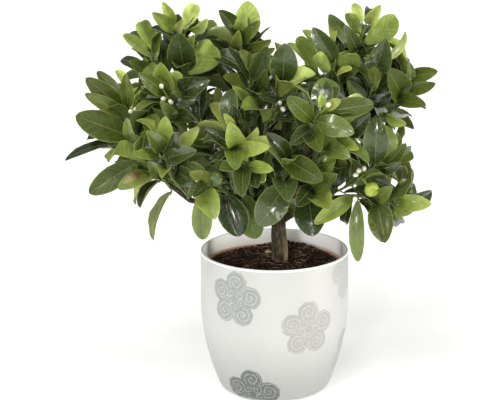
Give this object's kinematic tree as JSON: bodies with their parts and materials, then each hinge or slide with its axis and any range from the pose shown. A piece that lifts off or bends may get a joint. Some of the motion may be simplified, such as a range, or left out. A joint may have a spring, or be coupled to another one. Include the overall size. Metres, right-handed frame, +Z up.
{
  "type": "potted calamondin",
  "caption": "Small bushy citrus tree with glossy green leaves, green fruit and white buds in a round white pot with grey flower ornament.",
  "frame": {"origin": "centre of the pot's flat foot, on the surface that it stands on", "axes": "+Z up, the viewer of the picture stands at -Y, +X to the viewer's right"},
  "size_m": [0.341, 0.2942, 0.3808],
  "materials": {
    "glazed_ceramic": "satin white glaze with pale grey printed flower ornament",
    "terracotta_plastic": "matte moulded",
    "potting_soil": "loose moist potting mix with bark fibres",
    "bark": "rough olive-brown bark",
    "leaves": "glossy waxy upper side, matte paler underside",
    "unripe_rind": "pebbled satin rind",
    "flower_buds": "matte waxy petals"
  },
  "bodies": {
    "root": {"pot": "glazed_ceramic", "nursery_pot": "terracotta_plastic", "soil": "potting_soil", "trunk": "bark", "left_top": "leaves", "left_low": "leaves", "left_front": "leaves", "left_mid": "leaves", "top_left": "leaves", "top_left_out": "leaves", "top_mid": "leaves", "top_mid_front": "leaves", "top_right_front": "leaves", "right_top": "leaves", "right_top_in": "leaves", "right_out_top": "leaves", "right_far": "leaves", "centre_right": "leaves", "centre_right_low": "leaves", "centre_left": "leaves", "centre_low": "leaves", "over_trunk": "leaves", "over_trunk_right": "leaves", "low_left": "leaves", "low_mid_left": "leaves", "right_low": "leaves", "right_mid": "leaves", "back_left_end": "leaves", "back_left_low": "leaves", "back_left_high": "leaves", "left_rear": "leaves", "left_rear_low": "leaves", "back_end": "leaves", "back_low": "leaves", "back_left_inner": "leaves", "back_right_inner": "leaves", "back_right_end": "leaves", "back_right_low": "leaves", "back_right_high": "leaves", "right_rear": "leaves", "top_rear_left": "leaves", "top_rear_right": "leaves", "top_rear": "leaves", "fruit_right": "unripe_rind", "fruit_left": "unripe_rind", "buds_left": "flower_buds", "buds_centre": "flower_buds", "buds_right": "flower_buds", "buds_top": "flower_buds", "buds_far_left": "flower_buds"}
  },
  "joints": []
}
